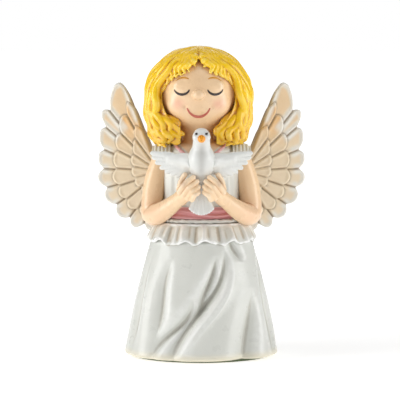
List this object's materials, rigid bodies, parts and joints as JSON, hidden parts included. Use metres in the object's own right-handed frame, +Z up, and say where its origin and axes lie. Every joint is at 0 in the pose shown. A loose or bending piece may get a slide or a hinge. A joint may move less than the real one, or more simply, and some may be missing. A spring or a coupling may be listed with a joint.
{
  "type": "angel figurine",
  "caption": "Standing cast figurine of a child angel in a long folded dress, holding a small dove to its chest, with feathered wings behind and a flat felt base to stand on a shelf.",
  "frame": {"origin": "middle of the felt face that the figurine stands on, below the middle of the skirt", "axes": "+Z up from the base to the top of the hair; the angel faces -Y; +X is towards the angel's own left hand"},
  "size_m": [0.103, 0.0647, 0.15],
  "materials": {
    "dress": "cast resin, hand-painted pearl white, satin",
    "dove": "cast resin, hand-painted white, satin",
    "wings": "cast resin, beige wash under pearl-white dry brushing, satin",
    "sash": "cast resin, hand-painted dusty pink, satin",
    "skin": "cast resin, hand-painted peach, satin gloss",
    "hair": "cast resin, hand-painted golden yellow with a brown wash, satin",
    "beak_paint": "painted orange, gloss",
    "eye_paint": "painted dark brown, gloss",
    "brow_paint": "painted light brown, satin",
    "lip_paint": "painted red-brown, satin",
    "felt": "glued felt",
    "steel": "plain pins"
  },
  "bodies": {
    "root": {"felt_pad": "felt", "skirt": "dress", "peplum": "dress", "waist_piping": "dress", "sash": "sash", "bodice": "dress", "neckline_trim": "sash", "shoulder_ruffle_left": "dress", "shoulder_ruffle_right": "dress", "arm_left": "skin", "arm_right": "skin", "head": "skin", "eyelid_lines": "eye_paint", "brow_lines": "brow_paint", "smile_line": "lip_paint", "hair_crown": "hair", "hair_back": "hair", "hair_side_left": "hair", "hair_side_right": "hair", "fringe_left": "hair", "fringe_right": "hair", "dove_body": "dove", "dove_wing_left": "dove", "dove_wing_right": "dove", "dove_tail": "dove", "dove_beak": "beak_paint", "dove_eyes": "eye_paint", "wing_left": "wings", "wing_right": "wings", "wing_pins": "steel", "arm_pins": "steel", "neck_dowel": "steel"}
  },
  "joints": []
}
